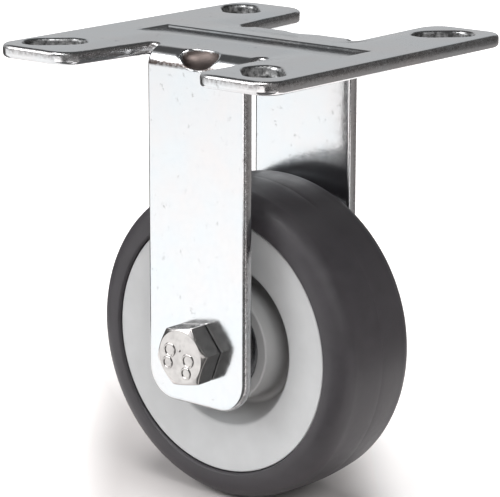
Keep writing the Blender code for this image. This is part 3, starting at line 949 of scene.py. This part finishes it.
class CASTOR_OT_nut(bpy.types.Operator):
    """Makes the lock nut with its crimped collar and nylon ring"""

    bl_idname = "castor.nut"
    bl_label = "Lock nut"

    def execute(self, context):
        sizes = context.scene.castor_sizes
        outline = hexagon_outline(0.0, sizes.hexagon_round)
        rings = hexagon_rings(outline, nut_hexagon_height, sizes.hexagon_round, True)
        top = nut_high[1] - nut_low[1]
        bore = bolt_radius + fit_gap
        seat = nut_collar_radius - nut_collar_wall
        outer, lip, insert_low = nut_collar_round, nut_collar_lip, top - insert_room
        collar = [(nut_collar_radius + fine_round, nut_hexagon_height),
                  (nut_collar_radius, nut_hexagon_height + fine_round)]
        collar += arc((nut_collar_radius - outer, top - outer), outer, 0, 90, round_steps)
        collar += arc((seat - tight_round, top - lip), lip, 90, 180, round_steps)
        collar += [(seat - fine_round, insert_low), (bore, insert_low), (bore, fine_round), (bore + broken_edge, 0.0)]
        shape = ringed_shape(outline, [ring + collar + ring[:1] for ring in rings], 1)
        keep_flats_flat(add_piece("lock_nut", finished_mesh(shape), "forged_zinc", "bracket"))
        half = insert_half_height
        section = rounded([
            (seat - lip, half, fine_round), (seat - lip, -half, fine_round),
            (bolt_radius, -half, fine_round), (bolt_radius, half, 2 * fine_round)])
        insert = turned(section, hardware_steps, nut_high[1] - insert_room / 2)
        add_piece("nut_insert", insert, "milky_nylon", "bracket")
        return {"FINISHED"}


# Bearings

def race_section(bore_side, shoulder, inner, steps=10):
    """Section of a bearing race with its ball groove and broken edges, as (radius, height)."""
    half = (bearing_outer_face - bearing_inner_face) / 2
    groove = ball_diameter / 2 + groove_gap
    reach = math.degrees(math.acos(abs(ball_circle_radius - shoulder) / groove))
    middle = 180 if inner else 0
    edge = broken_edge if inner else -broken_edge
    side = 1 if inner else -1
    curve = arc((ball_circle_radius, 0), groove, middle - reach, middle + reach, steps)
    ends = [(bore_side + edge, -half), (bore_side, broken_edge - half), (bore_side, half - broken_edge),
            (bore_side + edge, half)]
    return [(shoulder, side * half)] + curve + [(shoulder, -side * half)] + [(r, side * h) for r, h in ends]


class CASTOR_OT_bearings(bpy.types.Operator):
    """Makes the fine races, shields and bushes, and finishes the balls and cages"""

    bl_idname = "castor.bearings"
    bl_label = "Bearings and bushes"

    def execute(self, context):
        shield_high = (bearing_outer_face - bearing_inner_face) / 2 - shield_inset
        shield_in, shield_out = inner_shoulder_radius + fit_gap, outer_shoulder_radius - fit_gap
        bush_half, bush_bore = (bush_high[1] - bush_low[1]) / 2, bolt_radius + fit_gap / 2
        for side, sign in (("near", -1), ("far", 1)):
            middle = sign * bearing_middle
            for part, section, body in (
                ("inner_race", race_section(bolt_radius, inner_shoulder_radius, True), "bracket"),
                ("outer_race", race_section(bearing_radius, outer_shoulder_radius, False), "wheel"),
            ):
                race = turned(section, hardware_steps, middle)
                add_piece(f"{side}_{part}", race, "ground_steel", body)
            for part, out in (("inside_shield", -sign), ("outside_shield", sign)):
                high, low = out * shield_high, out * (shield_high - shield_thickness)
                dished = high - out * shield_step
                corners = (
                    (shield_out, high), (shield_out - shield_hem, high), (shield_out - shield_fold, dished),
                    (shield_in, dished), (shield_in, low), (shield_out, low))
                section = rounded([(*corner, tight_round) for corner in corners], 3)
                shield = turned(section, hardware_steps, middle)
                add_piece(f"{side}_{part}", shield, "pressed_shield", "wheel")
            section = rounded([
                (bush_radius, bush_half, broken_edge), (bush_radius, -bush_half, broken_edge),
                (bush_bore, -bush_half, fine_round), (bush_bore, bush_half, fine_round)])
            bush = turned(section, hardware_steps, sign * (bush_high[1] + bush_low[1]) / 2)
            add_piece(f"{side}_bush", bush, "forged_zinc", "bracket")
        for name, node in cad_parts.items():
            if "_ball_cage" in name:
                dress_node(node, "milky_nylon")
            elif "_ball_" in name:
                dress_node(node, "ground_steel")
            elif name == "spacer_tube":
                dress_node(node, "forged_zinc")
        return {"FINISHED"}


def dress_node(node, finish_name):
    for slot in node.material_slots:
        slot.material = finish(finish_name)


# Wheel

def mirrored(corners):
    """The section's other half: heights change sign and the order runs on."""
    return [(corner[0], -corner[1], *corner[2:]) for corner in reversed(corners)]


class CASTOR_OT_wheel_centre(bpy.types.Operator):
    """Moulds the wheel centre: bearing boss, dished recesses and rim"""

    bl_idname = "castor.wheel_centre"
    bl_label = "Wheel centre"

    def execute(self, context):
        soft = context.scene.castor_sizes.plastic_round
        bore = outer_shoulder_radius + fit_gap
        seat = bearing_radius + fit_gap
        seat_floor = bearing_inner_face - fit_gap
        floor = web_thickness / 2
        rim = centre_radius - fit_gap / 2
        rib_low = locking_rib_width / 2
        half = [
            (bore, seat_floor, fine_round), (seat, seat_floor, fine_round), (seat, boss_half_width, broken_edge),
            (boss_radius, boss_half_width, soft), (boss_radius + boss_draft, floor, boss_root_round),
            (recess_floor_radius, floor, recess_root_round), (recess_radius, recess_rim_half_width, soft * 1.2),
            (rim, centre_half_width, rim_round), (rim, rib_low + locking_rib_height / 2, tight_round),
            (rim + locking_rib_height, rib_low, broken_edge)]
        centre = turned(rounded(half + mirrored(half)), wheel_steps)
        keep_flats_flat(add_piece("wheel_centre", centre, "satin_plastic", "wheel"))
        return {"FINISHED"}


class CASTOR_OT_tyre(bpy.types.Operator):
    """Moulds the crowned tyre with its rounded shoulders and faint parting line"""

    bl_idname = "castor.tyre"
    bl_label = "Tyre"

    def execute(self, context):
        shoulder = context.scene.castor_sizes.shoulder_radius
        seat = centre_radius + fit_gap / 2
        flat_edge = tread_half_width - shoulder
        rib_low = locking_rib_width / 2 + fit_gap
        shoulder_middle = (wheel_radius - tread_crown - shoulder, flat_edge)
        side = [(seat + locking_rib_height, rib_low), (seat, rib_low + locking_rib_height / 2)]
        side += rounded([
            (seat, rib_low + 0.001, 0), (seat, centre_half_width + fit_gap, tight_round),
            (seat + wall_lip, tread_half_width - wall_lip / 3, wall_lip / 2),
            (seat + wall_flange, tread_half_width, wall_lip), (shoulder_middle[0], tread_half_width, 0)])[1:-1]
        crown = [(wheel_radius - tread_crown * share ** 2, flat_edge * share) for share in (0.8, 0.6, 0.4, 0.2)]
        crown += [(wheel_radius, parting_line_half_width), (wheel_radius - parting_line_depth, 0)]
        half = side + arc(shoulder_middle, shoulder, 90, 0, shoulder_steps) + crown
        tyre = turned(half + mirrored(half[:-1]), wheel_steps)
        add_piece("tyre", tyre, "moulded_rubber", "wheel")
        return {"FINISHED"}


# Studio

def stage_piece(name, shape, material):
    mesh = bpy.data.meshes.new(name)
    shape.to_mesh(mesh)
    shape.free()
    mesh.materials.append(material)
    piece = bpy.data.objects.new(name, mesh)
    bpy.context.scene.collection.objects.link(piece)
    return piece


def mirrored_sheet(name, shape, brightness, tint=warm_tint):
    """Places a glowing sheet that shows only in the metal's mirror images."""
    sheet = stage_piece(name, shape, screen_finish(name, brightness, tint))
    for rays in ("camera", "diffuse", "transmission", "shadow"):
        setattr(sheet, f"visible_{rays}", False)


def add_floor(material):
    shape = bmesh.new()
    bmesh.ops.create_grid(shape, x_segments=8, y_segments=8, size=floor_size / 2)
    bmesh.ops.translate(shape, verts=shape.verts, vec=(0, 0, -floor_drop))
    stage_piece("floor", shape, material)


def add_screen(name, start, end, brightness):
    """An upright curved screen round the castor's right side, from one bearing to another in degrees."""
    shape = bmesh.new()
    foot = [shape.verts.new((x, y, 0)) for x, y in arc((0, 0), screen_distance, start, end, screen_steps)]
    top = [shape.verts.new((*vertex.co[:2], screen_height)) for vertex in foot]
    skin(shape, [foot, top], first_row=1, first_point=1)
    mirrored_sheet(name, shape, brightness)


def add_card(name, corners, height, brightness):
    """A card standing on the floor from one corner to the other."""
    shape = bmesh.new()
    foot = [shape.verts.new((*corner, 0)) for corner in corners]
    top = [shape.verts.new((*corner, height)) for corner in reversed(corners)]
    shape.faces.new(foot + top)
    mirrored_sheet(name, shape, brightness)


def add_mat(name, corners, brightness, height, tint=white):
    """A level sheet at this height."""
    shape = bmesh.new()
    (left, front), (right, back) = corners
    outline = ((left, front), (right, front), (right, back), (left, back))
    shape.faces.new([shape.verts.new((x, y, height)) for x, y in outline])
    mirrored_sheet(name, shape, brightness, tint)


def floor_finish(colour):
    """White paper: it takes the castor's shadow, and looks white to the camera and in the castor's mirror images."""
    material, tree, shader = new_finish("studio_paper")
    tint = shaded(tree, spots(tree, 0.3, 2.0), scaled(colour, 0.99), colour)
    rays = add_node(tree, "LightPath").outputs
    seen = computed(tree, "MAXIMUM", rays["Is Camera Ray"], rays["Is Glossy Ray"])
    seen = computed(tree, "MAXIMUM", seen, rays["Is Transmission Ray"])
    place = add_node(tree, "TexCoord").outputs["Object"]
    across = vector_computed(
        tree, "DOT_PRODUCT", "Value", _0=place, _1=(math.cos(view_turn), math.sin(view_turn), 0))
    aside = computed(tree, "ABSOLUTE", computed(tree, "SUBTRACT", across, shadow_middle))
    distance = vector_computed(tree, "LENGTH", "Value", _0=place)
    beside_shadow = rising(tree, aside, shadow_half_width - shadow_fade, shadow_half_width, near_glow)
    near = computed(tree, "MAXIMUM", beside_shadow, ranged(tree, distance, 0.0, near_glow, *near_glow_fade))
    glow = computed(tree, "ADD", near, ranged(tree, distance, 0.0, far_glow, *far_glow_fade))
    fill_inputs(tree, shader, Base_Color=tint, Roughness=0.9, Specular_IOR_Level=0.1, Emission_Color=white,
                Emission_Strength=computed(tree, "MULTIPLY", seen, glow))
    return material


def screen_finish(name, brightness, tint):
    """Dark cloth that glows by itself."""
    material, tree, shader = new_finish(name)
    cloth = shaded(tree, spots(tree, 0.05, 2.0), scaled(white, 0.02), scaled(white, 0.03))
    fill_inputs(tree, shader, Base_Color=cloth, Emission_Color=tint, Emission_Strength=brightness)
    return material


def studio_walls(backdrop):
    """The room that the plating mirrors: a grey wall behind, a bright sheet in front and a dark ceiling."""
    world = bpy.data.worlds.new("studio")
    bpy.context.scene.world = world
    world.use_nodes = True
    tree = world.node_tree
    direction = add_node(tree, "TexCoord").outputs["Generated"]
    across, away, up = add_node(tree, "SeparateXYZ", Vector=direction).outputs
    wall = computed(tree, "MULTIPLY", rising(tree, away, *wall_side_fade), rising(tree, up, *wall_top_fade))
    sheet = computed(tree, "MULTIPLY", rising(tree, up, *sheet_foot_fade), rising(tree, up, *sheet_top_fade))
    sheet = computed(tree, "MULTIPLY", rising(tree, away, *sheet_side_fade), sheet)
    light = computed(tree, "MULTIPLY_ADD", wall, backdrop, sheet)
    light = computed(tree, "MULTIPLY_ADD", light, rising(tree, across, *left_side_fade), ceiling_brightness)
    fill_inputs(tree, tree.nodes["Background"], Color=room_tint, Strength=light)


def add_softbox(name, place, size, watts):
    """A square lamp that faces the castor's middle."""
    light = bpy.data.lights.new(name, "AREA")
    light.shape = "SQUARE"
    light.size = size
    light.energy = watts
    lamp = bpy.data.objects.new(name, light)
    bpy.context.scene.collection.objects.link(lamp)
    lamp.location = place
    aim = Vector((0, 0, total_height / 2)) - Vector(place)
    lamp.rotation_euler = aim.to_track_quat("-Z", "Y").to_euler()
    return lamp


class CASTOR_OT_stage(bpy.types.Operator):
    """Sets up the floor, the walls that the metal mirrors and the lamps"""

    bl_idname = "castor.stage"
    bl_label = "Studio"

    def execute(self, context):
        context.scene.view_settings.view_transform = "Standard"
        light = context.scene.castor_light
        add_floor(floor_finish(light.floor))
        studio_walls(light.backdrop)
        add_screen("black_screen", black_screen_start, screens_meet, black_brightness)
        add_screen("grey_screen", screens_meet, grey_screen_end, grey_screen_brightness)
        facing = Vector((math.sin(view_turn), math.cos(view_turn)))
        middle, aside = facing * card_distance, Vector((facing.y, -facing.x)) * card_half_width
        add_card("grey_card", (middle - aside, middle + aside), card_height, grey_card_brightness)
        add_card("black_card", black_card_corners, black_card_height, black_brightness)
        add_mat("top_sheet", top_sheet_corners, top_sheet_brightness, top_sheet_height)
        add_mat("dark_mat", dark_mat_corners, dark_mat_brightness, mat_height)
        add_mat("bright_mat", bright_mat_corners, light.mat, mat_height, cool_tint)
        for name, (place, size) in lamps.items():
            lamp = add_softbox(name, place, size, getattr(light, name))
            lamp.visible_glossy = name != "overhead"
        return {"FINISHED"}


class CASTOR_OT_camera(bpy.types.Operator):
    """Places the camera at the photograph's angle"""

    bl_idname = "castor.camera"
    bl_label = "Camera"

    def execute(self, context):
        back = Vector((math.sin(view_turn) * math.cos(view_rise), -math.cos(view_turn) * math.cos(view_rise),
                       math.sin(view_rise)))
        right = Vector((math.cos(view_turn), math.sin(view_turn), 0))
        up = back.cross(right)
        target = Vector((0, 0, view_target_height)) + right * view_shift_right + up * view_shift_up
        lens = bpy.data.cameras.new("photograph")
        lens.sensor_width = sensor_width
        lens.lens = sensor_width * focal_length_pixels / photo_width_pixels
        camera = bpy.data.objects.new("photograph", lens)
        context.scene.collection.objects.link(camera)
        facing = Matrix((right, up, back)).transposed().to_4x4()
        camera.matrix_world = Matrix.Translation(target + back * view_distance) @ facing @ Matrix.Rotation(
            view_roll, 4, "Z")
        context.scene.camera = camera
        return {"FINISHED"}


making_order = (
    CASTOR_OT_camera, CASTOR_OT_stage, CASTOR_OT_bracket, CASTOR_OT_bolt, CASTOR_OT_nut, CASTOR_OT_bearings,
    CASTOR_OT_wheel_centre, CASTOR_OT_tyre)


class CASTOR_PT_panel(bpy.types.Panel):
    """Lists the castor's pieces and settings"""

    bl_label = "Fixed Castor"
    bl_idname = "CASTOR_PT_panel"
    bl_space_type = "VIEW_3D"
    bl_region_type = "UI"
    bl_category = "Castor"

    def draw(self, context):
        for maker in making_order:
            self.layout.operator(maker.bl_idname)
        for group in (context.scene.castor_sizes, context.scene.castor_colours, context.scene.castor_light):
            box = self.layout.box()
            for name in group.bl_rna.properties.keys():
                if name not in ("rna_type", "name"):
                    box.prop(group, name)


settings_groups = {"castor_sizes": CastorSizes, "castor_colours": CastorColours, "castor_light": CastorLight}
classes = (*settings_groups.values(), *making_order, CASTOR_PT_panel)


def register():
    for cls in classes:
        bpy.utils.register_class(cls)
    for name, group in settings_groups.items():
        setattr(bpy.types.Scene, name, PointerProperty(type=group))


def unregister():
    for name in settings_groups:
        delattr(bpy.types.Scene, name)
    for cls in reversed(classes):
        bpy.utils.unregister_class(cls)


def main():
    register()
    bpy.ops.castor.camera()
    bpy.ops.castor.stage()
    bpy.ops.castor.bracket()
    bpy.ops.castor.bolt()
    bpy.ops.castor.nut()
    bpy.ops.castor.bearings()
    bpy.ops.castor.wheel_centre()
    bpy.ops.castor.tyre()


if __name__ == "__main__":
    main()
